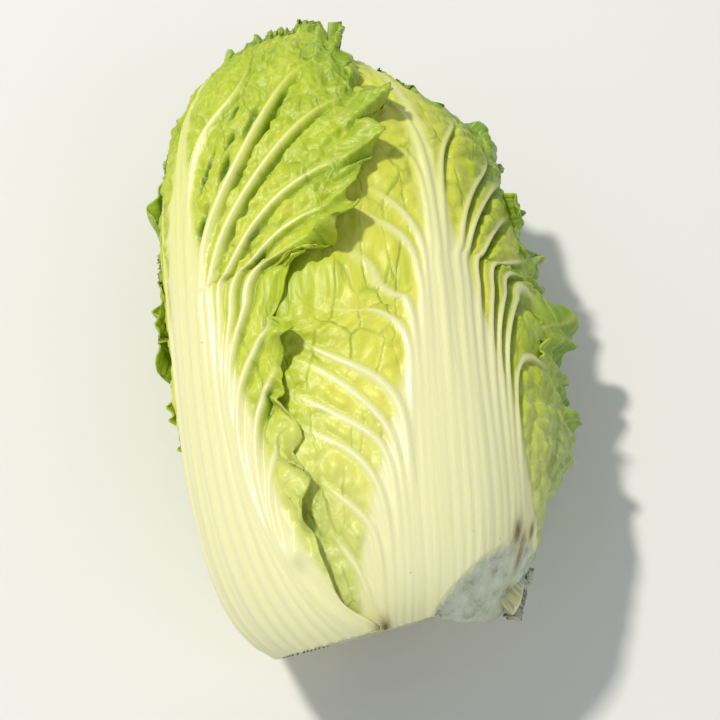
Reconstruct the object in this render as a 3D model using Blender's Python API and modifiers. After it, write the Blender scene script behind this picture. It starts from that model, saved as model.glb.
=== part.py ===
"""A head of napa cabbage lying on its side, built leaf by leaf round its cut stem.

The head lies along Y: the cut stem is at -Y, the leafy crown at +Y, and it rests on the plane z = 0.
Every leaf is a shell on one of a family of nested head forms, so an outer leaf always clears the next one in.
A bearing is an angle round the head, in degrees: 0 faces up, 90 faces +X, 180 faces the ground.
"""

import math
from bisect import bisect
from functools import lru_cache

import bmesh
import bpy

# Head form, in metres: a superellipse of these half axes, trimmed at the stem by a slanting cut.
HALF_LENGTH = 0.158
HALF_WIDTH = 0.088
HALF_HEIGHT = 0.073
PRESSED_FLAT = 0.005
AXIS_HEIGHT = HALF_HEIGHT - PRESSED_FLAT
BOXINESS = 0.62
STEM_CUT_Y = -0.147
CUT_SLANT_ACROSS = 0.13
CUT_SLANT_UP = -0.25
SLANT_REACH = 0.12
CROWN_END_ANGLE = 8.0
MIDDLE = -0.003
# A shell one metre further in is drawn in at its two ends by this share of the half length.
END_DRAW_IN = 5.9
MERIDIAN_STEPS = 160
ARC_STEP_DEGREES = 0.5

# Leaf shells, in metres and degrees
PETIOLE_THICKNESS = 0.0034
BLADE_THICKNESS = 0.0014
PETIOLE_SPREAD = 26.0
PETIOLE_END = 0.80
SHOULDER = 0.55
WIDEST = 0.50
FRILL_FROM = 0.20
FRILL_TO = 0.95

# Stem and heart, in metres
STEM_LENGTH = 0.046
STEM_RADIUS = 0.0270
STEM_TOP_RADIUS = 0.0110
STEM_FLATNESS = 0.86
STEM_EDGE = 0.002
LEAF_BASE_GAP = 0.0022
HEART_DEPTH = 0.0430
HEART_STEM_GAP = 0.0030

LEAF_GREEN = (0.36, 0.52, 0.06, 1.0)
LEAF_YELLOW = (0.68, 0.74, 0.20, 1.0)
STEM_CREAM = (0.80, 0.78, 0.56, 1.0)

# Each leaf has the bearing of its midrib at the stem and at the tip; the depth of its shell on its
# low-bearing and high-bearing sides, with the two bearings between which it steps from one to the other;
# its spread to each side of the midrib, at the stem and over the blade; how far up the head its tip
# reaches; and how far its low-bearing and high-bearing margins flare outwards.
OUTER_LEAVES = {
    "back_leaf": dict(
        midrib=(176, 182), depths=(0.0, 0.0), step=(0, 1), root=(50, 50), blade=(70, 66), reach=0.97,
        flare=(0.004, 0.004),
    ),
    "lower_left_leaf": dict(
        midrib=(-120, -128), depths=(0.005, 0.004), step=(-140, -110), root=(44, 44), blade=(62, 44), reach=0.96,
        flare=(0.0, 0.006),
    ),
    "lower_right_leaf": dict(
        midrib=(130, 144), depths=(0.005, 0.010), step=(116, 134), root=(48, 44), blade=(58, 70), reach=0.93,
        flare=(0.0, 0.0),
    ),
    "left_leaf": dict(
        midrib=(-44, -64), depths=(0.010, 0.001), step=(-84, -46), root=(46, 46), blade=(58, 68), reach=1.00,
        flare=(0.0, 0.005),
    ),
    "right_leaf": dict(
        midrib=(38, 34), depths=(0.0065, 0.0015), step=(10, 32), root=(40, 44), blade=(94, 62), reach=0.98,
        flare=(0.0, 0.018),
    ),
}
INNER_LEAF_COUNT = 6
INNER_FIRST_DEPTH = 0.0155
INNER_DEPTH_STEP = 0.0041
INNER_FIRST_BEARING = -172.0
GOLDEN_ANGLE = 137.5
INNER_SPREAD = 92.0
INNER_ROOT_SPREAD = 60.0
INNER_THICKNESS_SHARE = 0.55

# Faces across and along each leaf. The rows crowd towards the two ends, where the head turns in.
OUTER_GRID = (14, 17)
INNER_GRID = (11, 15)
ROW_CROWDING = 0.085


def smooth(t):
    """An S curve from 0 to 1."""
    t = min(1.0, max(0.0, t))
    return t * t * (3.0 - 2.0 * t)


def outline_point(angle, depth):
    """The head form's (y, out) at an angle in degrees up from the stem; out is a share of its half axes."""
    cosine = math.cos(math.radians(angle))
    along = -math.copysign(abs(cosine) ** BOXINESS, cosine)
    return MIDDLE + along * HALF_LENGTH * (1.0 - END_DRAW_IN * depth), math.sin(math.radians(angle)) ** BOXINESS


def stem_radius(y):
    """The stem's radius where it crosses y: a cone that narrows from the cut face."""
    up = min(1.0, max(0.0, (y - STEM_CUT_Y) / STEM_LENGTH))
    return STEM_RADIUS + (STEM_TOP_RADIUS - STEM_RADIUS) * up


@lru_cache(maxsize=None)
def meridian_table(depth):
    """The outline from the stem to the crown as points, with the arc length up to each of them."""
    first = ARC_STEP_DEGREES
    while True:
        y, out = outline_point(first, depth)
        clear_of_stem = out * (HALF_WIDTH - depth) >= stem_radius(y) + PETIOLE_THICKNESS + LEAF_BASE_GAP
        if y >= STEM_CUT_Y and clear_of_stem:
            break
        first += ARC_STEP_DEGREES
    last = 180.0 - CROWN_END_ANGLE
    points = [
        outline_point(first + (last - first) * step / MERIDIAN_STEPS, depth) for step in range(MERIDIAN_STEPS + 1)
    ]
    lengths = [0.0]
    for (y0, out0), (y1, out1) in zip(points, points[1:]):
        lengths.append(lengths[-1] + math.hypot(y1 - y0, (out1 - out0) * HALF_WIDTH))
    return points, lengths


def meridian(share, depth):
    """The outline's (y, out) at a share of its arc length from the stem."""
    points, lengths = meridian_table(depth)
    wanted = min(1.0, max(0.0, share)) * lengths[-1]
    index = min(len(points) - 2, max(0, bisect(lengths, wanted) - 1))
    part = (wanted - lengths[index]) / (lengths[index + 1] - lengths[index])
    (y0, out0), (y1, out1) = points[index], points[index + 1]
    return y0 + (y1 - y0) * part, out0 + (out1 - out0) * part


def slanted(x, y, z):
    """The point with y shifted near the stem, so that the head's square trimmed end becomes a slanting cut."""
    shift = CUT_SLANT_ACROSS * x + CUT_SLANT_UP * (z - AXIS_HEIGHT)
    return x, y + shift * (1.0 - smooth((y - STEM_CUT_Y) / SLANT_REACH)), z


def on_head(bearing, share, depth, lift=0.0):
    """A point on the nested head form that lies depth inside the outermost one, lifted outwards."""
    y, out = meridian(share, depth)
    turn = math.radians(bearing)
    x = ((HALF_WIDTH - depth) * out + lift) * math.sin(turn)
    z = AXIS_HEIGHT + ((HALF_HEIGHT - depth) * out + lift) * math.cos(turn)
    return slanted(x, y, max(z, depth))


def leaf_outline(u, v):
    """Turns the square grid's (u, v) into (across, along), with the two top corners rounded to a leaf tip."""
    if v <= SHOULDER:
        return u, v
    t = (v - SHOULDER) / (1.0 - SHOULDER)
    across = u * math.sqrt(1.0 - 0.5 * t * t)
    return across, SHOULDER + (1.0 - SHOULDER) * t * math.sqrt(1.0 - 0.5 * u * u)


def own_material(name, colour):
    material = bpy.data.materials.new(name)
    material.use_nodes = True
    surface = material.node_tree.nodes["Principled BSDF"]
    surface.inputs["Base Color"].default_value = colour
    surface.inputs["Roughness"].default_value = 0.45
    return material


def add_object(name, bm, colour, collection):
    """Makes the mesh an object at the world's origin, shaded smooth, with its own material."""
    mesh = bpy.data.meshes.new(name)
    bm.to_mesh(mesh)
    bm.free()
    mesh.shade_smooth()
    piece = bpy.data.objects.new(name, mesh)
    collection.objects.link(piece)
    piece.data.materials.append(own_material(name, colour))
    return piece


def make_leaf(name, leaf, grid, thickness_share, colour, collection):
    """A leaf: a grid laid on its head form, thick along the petiole and thin in the blade."""
    bm = bmesh.new()
    bmesh.ops.create_grid(bm, x_segments=grid[0], y_segments=grid[1], size=1.0)
    weights = bm.verts.layers.deform.verify()
    for vert in bm.verts:
        row = 0.5 + 0.5 * vert.co.y
        across, along = leaf_outline(vert.co.x, row - ROW_CROWDING * math.sin(2.0 * math.pi * row))
        side = 0 if across < 0.0 else 1
        spread = leaf["root"][side] + (leaf["blade"][side] - leaf["root"][side]) * smooth(along / WIDEST)
        stem_bearing, tip_bearing = leaf["midrib"]
        bearing = stem_bearing + (tip_bearing - stem_bearing) * along + across * spread
        step_from, step_to = leaf["step"]
        low_depth, high_depth = leaf["depths"]
        depth = low_depth + (high_depth - low_depth) * smooth((bearing - step_from) / (step_to - step_from))
        up_frill = min(1.0, max(0.0, (along - FRILL_FROM) / (FRILL_TO - FRILL_FROM)))
        lift = leaf["flare"][side] * abs(across) ** 5 * math.sin(math.pi * up_frill)
        vert.co = on_head(bearing, along * leaf["reach"], round(depth, 5), lift)
        from_midrib = across * spread / PETIOLE_SPREAD
        vert[weights][0] = math.exp(-from_midrib * from_midrib) * (1.0 - smooth(along / PETIOLE_END))
    piece = add_object(name, bm, colour, collection)
    piece.vertex_groups.new(name="petiole")
    shell = piece.modifiers.new("thickness", "SOLIDIFY")
    shell.thickness = PETIOLE_THICKNESS * thickness_share
    shell.offset = -1.0
    shell.vertex_group = "petiole"
    shell.thickness_vertex_group = BLADE_THICKNESS / PETIOLE_THICKNESS
    return piece


def inner_leaves():
    """Each inner leaf stands a golden angle round from the last and one shell further in."""
    for number in range(INNER_LEAF_COUNT):
        bearing = INNER_FIRST_BEARING + GOLDEN_ANGLE * number
        depth = INNER_FIRST_DEPTH + INNER_DEPTH_STEP * number
        yield f"inner_leaf_{number + 1}", dict(
            midrib=(bearing, bearing),
            depths=(depth, depth),
            step=(0, 1),
            root=(INNER_ROOT_SPREAD, INNER_ROOT_SPREAD),
            blade=(INNER_SPREAD, INNER_SPREAD),
            reach=0.99,
            flare=(0.0, 0.0),
        )


def make_stem(collection):
    """The cut stem: a short cone inside the ring of leaf bases, trimmed level with them."""
    bm = bmesh.new()
    bmesh.ops.create_cone(
        bm,
        cap_ends=True,
        segments=28,
        radius1=STEM_RADIUS,
        radius2=STEM_TOP_RADIUS,
        depth=STEM_LENGTH,
    )
    for vert in bm.verts:
        x, flat, along = vert.co
        vert.co = slanted(-x, STEM_CUT_Y + STEM_LENGTH / 2 + along, AXIS_HEIGHT + flat * STEM_FLATNESS)
    piece = add_object("cut_stem", bm, STEM_CREAM, collection)
    rounding = piece.modifiers.new("worn_edge", "BEVEL")
    rounding.width = STEM_EDGE
    rounding.segments = 2
    return piece


def make_heart(collection):
    """The heart: the tight bundle of the youngest leaves, one solid that fills the innermost shell."""
    bm = bmesh.new()
    bmesh.ops.create_uvsphere(bm, u_segments=20, v_segments=14, radius=1.0)
    flat_end = STEM_CUT_Y + STEM_LENGTH + HEART_STEM_GAP
    half_length = HALF_LENGTH * (1.0 - END_DRAW_IN * HEART_DEPTH)
    for vert in bm.verts:
        x, flat, along = vert.co
        ring = math.hypot(x, flat)
        fill = ring ** BOXINESS / ring if ring > 1e-6 else 0.0
        reach = math.copysign(abs(along) ** BOXINESS, -along)
        vert.co = slanted(
            x * fill * (HALF_WIDTH - HEART_DEPTH),
            max(flat_end, MIDDLE + reach * half_length),
            AXIS_HEIGHT + flat * fill * (HALF_HEIGHT - HEART_DEPTH),
        )
    return add_object("heart", bm, LEAF_YELLOW, collection)


def main():
    for item in list(bpy.data.objects):
        bpy.data.objects.remove(item)
    collection = bpy.data.collections.new("napa_cabbage")
    bpy.context.scene.collection.children.link(collection)
    for name, leaf in OUTER_LEAVES.items():
        make_leaf(name, leaf, OUTER_GRID, 1.0, LEAF_GREEN, collection)
    for name, leaf in inner_leaves():
        make_leaf(name, leaf, INNER_GRID, INNER_THICKNESS_SHARE, LEAF_YELLOW, collection)
    make_stem(collection)
    make_heart(collection)


main()
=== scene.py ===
"""The looks of a head of napa cabbage that lies on its side, cut stem towards the camera, crown away."""

import math

import bpy
import numpy as np
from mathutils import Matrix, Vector


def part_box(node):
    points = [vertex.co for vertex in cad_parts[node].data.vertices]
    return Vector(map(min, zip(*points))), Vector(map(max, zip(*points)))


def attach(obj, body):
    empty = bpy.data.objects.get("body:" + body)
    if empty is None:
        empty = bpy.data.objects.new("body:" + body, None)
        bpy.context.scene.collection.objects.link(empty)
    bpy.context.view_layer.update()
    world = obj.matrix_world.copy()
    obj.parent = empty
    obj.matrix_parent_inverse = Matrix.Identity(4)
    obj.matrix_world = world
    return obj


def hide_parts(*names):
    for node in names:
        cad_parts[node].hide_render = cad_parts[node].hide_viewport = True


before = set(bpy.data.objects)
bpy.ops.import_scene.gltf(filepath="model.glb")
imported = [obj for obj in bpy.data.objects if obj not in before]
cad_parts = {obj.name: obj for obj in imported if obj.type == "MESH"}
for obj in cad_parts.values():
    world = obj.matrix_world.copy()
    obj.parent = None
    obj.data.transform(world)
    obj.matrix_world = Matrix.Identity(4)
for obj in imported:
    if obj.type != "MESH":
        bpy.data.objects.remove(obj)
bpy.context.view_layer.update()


# ---- Right leaf ---------------------------------------------------------------------------------------
# The broadest outer leaf: a fleshy white petiole whose ribs fan out into a thin crinkled green blade.
# It grows from the stem and lies pressed to the head. Its inner half runs under the left leaf.

# The head is a barrel of leaves: a superellipse round the Y axis, in metres, cut off on a slant at the stem.
heart_low, heart_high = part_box("heart")
HEART_DEPTH = 0.043
HALF_WIDTH = 0.5 * (heart_high.x - heart_low.x) + HEART_DEPTH
HALF_HEIGHT = 0.5 * (heart_high.z - heart_low.z) + HEART_DEPTH
AXIS_HEIGHT = 0.5 * (heart_high.z + heart_low.z)
HALF_LENGTH = 0.158
MIDDLE = -0.003
BOXINESS = 0.62
END_DRAW_IN = 5.9
CUT_Y = -0.147
CUT_SLANT_ACROSS = 0.13
CUT_SLANT_UP = -0.25
SLANT_REACH = 0.12
# An old slanting slice has taken off the right-hand corner of the base. A leaf says how far out it lies.
SLICE_NORMAL = np.array((0.565, -0.790, 0.245))
NO_SLICE = 9.0
CROWN_END_ANGLE = 8.0
STEM_RING = 0.033
# One degree of bearing on the head's surface, and a millimetre, in metres
DEGREE = 0.00145
MM = 1.0e-3
OUTER_DEPTH = 0.003


def smooth(t):
    """An S curve from 0 to 1, for numbers and arrays."""
    t = np.clip(t, 0.0, 1.0)
    return t * t * (3.0 - 2.0 * t)


def outline(angle, depth):
    """(y, share of the half axes) of the head form, at an angle up from the stem and a depth inside it."""
    cosine = np.cos(np.radians(angle))
    along = -np.sign(cosine) * np.abs(cosine) ** BOXINESS
    return MIDDLE + along * HALF_LENGTH * (1.0 - END_DRAW_IN * depth), np.sin(np.radians(angle)) ** BOXINESS


def first_angle(depth):
    """Where a shell starts: at the cut, or further up where a shell inside it would meet the stem."""
    reach = np.clip((MIDDLE - CUT_Y) / (HALF_LENGTH * (1.0 - END_DRAW_IN * depth)), 0.0, 1.0)
    at_cut = np.degrees(np.arccos(reach ** (1.0 / BOXINESS)))
    round_stem = np.degrees(np.arcsin((STEM_RING / (HALF_WIDTH - depth)) ** (1.0 / BOXINESS)))
    return np.maximum(at_cut, round_stem)


angles = np.linspace(first_angle(OUTER_DEPTH), 179.8, 600)
outline_y, outline_out = outline(angles, OUTER_DEPTH)
steps = np.hypot(np.diff(outline_y), np.diff(outline_out) * HALF_WIDTH)
outline_length = np.concatenate([[0.0], np.cumsum(steps)])
LEAF_LENGTH = float(np.interp(180.0 - CROWN_END_ANGLE, angles, outline_length))


def way_up(y):
    """The distance up a leaf from its cut base, in metres, to the place y on the head."""
    return np.interp(y, outline_y, outline_length)


def read_along(way, rows, column=1):
    """A value at a way up a leaf, read from a few rows that start with millimetres along the head."""
    rows = np.array(rows, float)
    return np.interp(way, way_up(rows[:, 0] * MM), rows[:, column])


def cut_slant(x, y, z):
    """How far a place near the cut is moved along the head, because the cut is on a slant."""
    slant = CUT_SLANT_ACROSS * x + CUT_SLANT_UP * (z - AXIS_HEIGHT)
    return slant * (1.0 - smooth((y - CUT_Y) / SLANT_REACH))


def on_head(bearing, way, depth):
    """Points of a shell depth inside the head form. A bearing is in degrees: 0 up, 90 to +X, 180 down."""
    share = np.interp(way, outline_length, (angles - angles[0]) / (angles[-1] - angles[0]))
    first = first_angle(depth)
    y, out = outline(first + (angles[-1] - first) * share, depth)
    turn = np.radians(bearing)
    x = (HALF_WIDTH - depth) * out * np.sin(turn)
    z = np.maximum(AXIS_HEIGHT + (HALF_HEIGHT - depth) * out * np.cos(turn), depth)
    # The crown leans to the left: its right-hand shoulder is lower.
    lean = 0.028 * smooth((y - 0.05) / 0.10) * smooth((x + 0.015) / 0.075) * smooth((z - 0.01) / 0.05)
    return np.stack([x, y + cut_slant(x, y, z) - lean, z], axis=-1)


def curve_through(points, count):
    """Points on a Catmull-Rom curve through a few given ones."""
    points = np.asarray(points, float)
    ends = np.vstack([2.0 * points[0] - points[1], points, 2.0 * points[-1] - points[-2]])
    t = np.linspace(0.0, len(points) - 1.0, count)
    index = np.minimum(t.astype(int), len(points) - 2)
    f = (t - index)[:, None]
    p0, p1, p2, p3 = (ends[index + k] for k in range(4))
    return 0.5 * (2.0 * p1 + (p2 - p0) * f + (2.0 * p0 - 5.0 * p1 + 4.0 * p2 - p3) * f**2
                  + (3.0 * p1 - p0 - 3.0 * p2 + p3) * f**3)


def margin_at(way, margin):
    """A margin's bearing, read from a few (millimetres along the head, bearing) points, with soft corners."""
    even = np.linspace(-0.01, 1.08 * LEAF_LENGTH, 300)
    bearings = read_along(even, margin)
    window = np.hanning(19)[1:-1]
    soft = np.convolve(np.pad(bearings, 8, mode="edge"), window / window.sum(), mode="valid")
    return np.interp(way, even, soft)


# A vein's curve has this many points, or half of them where its route is short, with its corners rubbed off.
VEIN_POINTS = 48
VEIN_SOFTENING = 40
SHORT_ROUTE = 7


def to_vein(flat, route):
    """Distance to a vein's route, signed by side, and how far along the vein that is, from 0 to 1."""
    line = curve_through([(b * DEGREE, way_up(mm * MM)) for b, mm in route], VEIN_POINTS)
    for _ in range(VEIN_SOFTENING):
        line[1:-1] = 0.5 * line[1:-1] + 0.25 * (line[:-2] + line[2:])
    line = line[::2] if len(route) < SHORT_ROUTE else line
    best = np.full(len(flat), 1e9)
    side = np.ones(len(flat))
    along = np.zeros(len(flat))
    lengths = np.concatenate([[0.0], np.cumsum(np.linalg.norm(np.diff(line, axis=0), axis=1))])
    for k in range(len(line) - 1):
        start, step = line[k], line[k + 1] - line[k]
        t = np.clip((flat - start) @ step / (step @ step), 0.0, 1.0)
        gap = flat - (start + t[:, None] * step)
        distance = np.hypot(gap[:, 0], gap[:, 1])
        nearer = distance < best
        best[nearer] = distance[nearer]
        side[nearer] = np.sign(step[1] * gap[nearer, 0] - step[0] * gap[nearer, 1])
        along[nearer] = (lengths[k] + t[nearer] * (lengths[k + 1] - lengths[k])) / lengths[-1]
    return best, side, along


def waves(position, lengths, seed):
    """A wandering wave of about -1 to 1 along a line: sines of unlike lengths with set phases."""
    shift = np.random.default_rng(seed).uniform(0.0, 2.0 * np.pi, len(lengths))
    total = sum(np.sin(2.0 * np.pi * position / length + s) for length, s in zip(lengths, shift))
    return total / math.sqrt(len(lengths))


def grid_faces(columns, rows):
    """Quads of a grid of vertices stored row by row."""
    first = (np.arange(rows - 1)[:, None] * columns + np.arange(columns - 1)[None, :]).reshape(-1)
    return np.stack([first, first + 1, first + columns + 1, first + columns], axis=-1)


def sheet_object(name, points, faces, attributes, flat):
    """A mesh object with point attributes, and a UV map that holds the flat leaf in metres."""
    mesh = bpy.data.meshes.new(name)
    mesh.vertices.add(len(points))
    mesh.vertices.foreach_set("co", points.astype(np.float32).reshape(-1))
    mesh.loops.add(faces.size)
    mesh.loops.foreach_set("vertex_index", faces.reshape(-1).astype(np.int32))
    mesh.polygons.add(len(faces))
    mesh.polygons.foreach_set("loop_start", np.arange(0, faces.size, 4, dtype=np.int32))
    mesh.update(calc_edges=True)
    mesh.validate()
    for key, values in attributes.items():
        layer = mesh.attributes.new(key, "FLOAT", "POINT")
        layer.data.foreach_set("value", values.astype(np.float32))
    uv = mesh.uv_layers.new(name="flat")
    uv.data.foreach_set("uv", flat[faces.reshape(-1)].astype(np.float32).reshape(-1))
    mesh.shade_smooth()
    piece = bpy.data.objects.new(name, mesh)
    bpy.context.scene.collection.objects.link(piece)
    return piece


class Mask:
    """A shader value. Arithmetic on masks adds Math nodes to their tree."""

    def __init__(self, tree, socket):
        self.tree = tree
        self.socket = socket

    def math(self, operation, other, flip=False):
        node = self.tree.nodes.new("ShaderNodeMath")
        node.operation = operation
        ends = (other, self) if flip else (self, other)
        for slot, value in zip(node.inputs, ends):
            if isinstance(value, Mask):
                self.tree.links.new(value.socket, slot)
            else:
                slot.default_value = value
        return Mask(self.tree, node.outputs[0])

    def __add__(self, other):
        return self.math("ADD", other)

    def __radd__(self, other):
        return self.math("ADD", other)

    def __sub__(self, other):
        return self.math("SUBTRACT", other)

    def __rsub__(self, other):
        return self.math("SUBTRACT", other, flip=True)

    def __mul__(self, other):
        return self.math("MULTIPLY", other)

    def __rmul__(self, other):
        return self.math("MULTIPLY", other)

    def clamped(self):
        node = self.tree.nodes.new("ShaderNodeClamp")
        self.tree.links.new(self.socket, node.inputs[0])
        return Mask(self.tree, node.outputs[0])


class Finish:
    """One material under construction: its tree, and one method that adds any node."""

    def __init__(self, name):
        self.material = bpy.data.materials.new(name)
        self.material.use_nodes = True
        self.tree = self.material.node_tree
        self.surface = self.tree.nodes["Principled BSDF"]

    def node(self, kind, settings=None, out=0, **sockets):
        node = self.tree.nodes.new("ShaderNode" + kind)
        for key, value in (settings or {}).items():
            if key == "stops":
                ramp = node.color_ramp.elements
                while len(ramp) < len(value):
                    ramp.new(0.5)
                for element, (place, colour) in zip(ramp, value):
                    element.position = place
                    element.color = (*colour, 1.0)
            else:
                setattr(node, key, value)
        for key, value in sockets.items():
            index = int(key[1:]) if key[0] == "_" else key.replace("_", " ")
            slot = node.inputs[index]
            if isinstance(value, Mask):
                self.tree.links.new(value.socket, slot)
            else:
                slot.default_value = value
        return Mask(self.tree, node.outputs[out])

    def blend(self, amount, first, second):
        """A colour between two, by a mask."""
        sides = [(*side, 1.0) if isinstance(side, tuple) else side for side in (first, second)]
        return self.node("Mix", {"data_type": "RGBA"}, out=2, _0=amount, _6=sides[0], _7=sides[1])

    def attribute(self, name):
        return self.node("Attribute", {"attribute_name": name}, out=2)

    def on_leaf(self, across, along, shift=0.0):
        """The flat leaf's coordinates divided by a size across it and a size along it, in metres."""
        flat = self.node("UVMap", {"uv_map": "flat"})
        scale = (1.0 / across, 1.0 / along, 1.0)
        return self.node("Mapping", Vector=flat, Location=(shift, shift, shift), Scale=scale)

    def noise(self, across, along, shift=0.0, out=0, **sockets):
        """Noise whose grain has a size across the leaf and a size along it."""
        return self.node("TexNoise", Vector=self.on_leaf(across, along, shift), Scale=1.0, out=out, **sockets)

    def net(self, across, along, shift, bend, wander):
        """The distance to the walls of cells over the leaf, whose places a wandering vector bends."""
        places = self.on_leaf(across, along, shift)
        bent = self.node("Mix", {"data_type": "VECTOR"}, out=1, _0=bend, _4=places, _5=wander)
        return self.node("TexVoronoi", {"feature": "DISTANCE_TO_EDGE"}, Vector=bent, Scale=1.0)

    def set(self, **sockets):
        for key, value in sockets.items():
            slot = self.surface.inputs[key.replace("_", " ")]
            if isinstance(value, Mask):
                self.tree.links.new(value.socket, slot)
            else:
                slot.default_value = value
        return self.material


def dyed(colour, shares):
    """A colour with each channel taken down to a share of itself."""
    return tuple(channel * share for channel, share in zip(colour, shares))


def leaf_finish(name, young, mature, margin, rib_low, rib_high, gloss, web_strength):
    """Leaf tissue: creamy ribs with fibres, and a blade whose cells stand between a web of pale veins."""
    finish = Finish(name)
    rib, green, age, bruise, cut, crease = (
        finish.attribute(key) for key in ("rib", "green", "age", "bruise", "cut", "crease")
    )
    wander = finish.noise(0.012, 0.012, Detail=3.0, out=1)
    cells = finish.net(0.0042, 0.0042, 0.0, 0.16, wander)
    fields = finish.net(0.010, 0.011, 3.7, 0.2, wander)
    veinlet = (1.0 - cells * 9.0).clamped()
    vein = (1.0 - fields * 16.0).clamped()
    blade = (1.0 - rib * 1.25).clamped()
    shows = 0.35 + green * (1.0 - green * 0.35)
    web = (veinlet * 0.30 + vein * 0.8).clamped() * blade * web_strength * shows
    pucker = finish.noise(0.0035, 0.0045, 1.9, Detail=4.0, Roughness=0.6)
    patches = finish.noise(0.022, 0.030, 5.1, Detail=3.0)
    depth_of_green = (green + (patches - 0.5) * 0.55 + (pucker - 0.5) * 0.30).clamped()
    greens = {"stops": [(0.0, young), (0.5, mature), (1.0, margin)]}
    blade_colour = finish.node("ValToRGB", greens, Fac=depth_of_green)
    blade_colour = finish.blend(web * 0.36, blade_colour, rib_high)

    # The ribs yellow towards the tip, with watery streaks along their fibres.
    rib_colour = finish.blend((green * 0.55 + age * 0.45).clamped(), rib_low, rib_high)
    rib_colour = finish.blend(((age - 0.45) * 1.3).clamped(), rib_colour, dyed(rib_high, (0.84, 0.94, 0.62)))
    fibres = finish.noise(0.0011, 0.030, 2.3, Detail=3.0, Roughness=0.6)
    streaks = finish.noise(0.0045, 0.080, 8.3, Detail=2.0)
    watery = ((fibres - 0.45) * 0.7 + (streaks - 0.5) * 1.3).clamped()
    rib_colour = finish.blend(watery * 0.5, rib_colour, dyed(rib_low, (0.80, 0.86, 0.62)))

    # The blade is pale at its base. Painted shade: a darker green in its folds and in the creases and pits
    # beside the veins.
    blade_colour = finish.blend(((0.24 - age) * 1.5).clamped(), blade_colour, rib_low)
    puckers = finish.net(0.0085, 0.019, 2.2, 0.35, wander)
    folds = (1.0 - puckers * 15.0).clamped() * ((patches - 0.42) * 5.0).clamped() * blade
    blade_colour = finish.blend(folds * 0.55, blade_colour, (0.26, 0.38, 0.012))
    # Painted shade: the tucks beside the veins and the pits are painted a deep green.
    painted_crease_shade = (crease * (0.45 + patches * 0.6)).clamped()
    blade_colour = finish.blend(painted_crease_shade, blade_colour, (0.13, 0.24, 0.012))
    colour = finish.blend(rib, blade_colour, rib_colour)

    # Small dark specks, brown bruises, and the grey-green scar of the slice.
    specks = finish.node("TexVoronoi", {"feature": "F1"}, Vector=finish.on_leaf(0.013, 0.016, 0.4), Scale=1.0)
    speck_spread = finish.noise(0.05, 0.05, 6.6)
    speck = (1.0 - specks * 26.0).clamped() * ((speck_spread - 0.5) * 9.0).clamped()
    colour = finish.blend(speck * 0.75, colour, (0.10, 0.09, 0.03))
    bruise_grain = finish.noise(0.002, 0.005, 4.4, Detail=5.0)
    colour = finish.blend((bruise * (0.55 + bruise_grain * 0.9)).clamped(), colour, (0.20, 0.13, 0.035))
    scar = finish.noise(0.009, 0.0045, 7.7, Detail=5.0, Roughness=0.6)
    scars = {"stops": [(0.30, (0.30, 0.30, 0.17)), (0.44, (0.50, 0.56, 0.42)), (0.68, (0.68, 0.72, 0.56))]}
    cut_colour = finish.node("ValToRGB", scars, Fac=scar)
    colour = finish.blend(cut * (1.0 - bruise * 0.85), colour, cut_colour)
    relief = (
        cut * scar * 1.1
        + blade * (0.25 + green * 1.1) * (pucker * 0.45 + cells * 0.60 + vein * 0.12)
        + blade * fields * 0.40
        - folds * 0.55
        + rib * (fibres * 0.10 + streaks * 0.30)
    )
    bump = finish.node("Bump", Strength=0.85, Distance=0.0011, Height=relief)
    return finish.set(
        Base_Color=colour,
        Roughness=gloss + blade * 0.10 + (pucker - 0.5) * 0.18,
        Specular_IOR_Level=0.45,
        Subsurface_Weight=0.22,
        Subsurface_Radius=(1.0, 1.15, 0.30),
        Subsurface_Scale=0.0035,
        Normal=bump,
    )


outer_finish = leaf_finish(
    "outer leaf",
    young=(0.80, 0.79, 0.105),
    mature=(0.46, 0.58, 0.024),
    margin=(0.18, 0.32, 0.016),
    rib_low=(0.87, 0.85, 0.52),
    rib_high=(0.82, 0.82, 0.28),
    gloss=0.33,
    web_strength=1.0,
)


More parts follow.
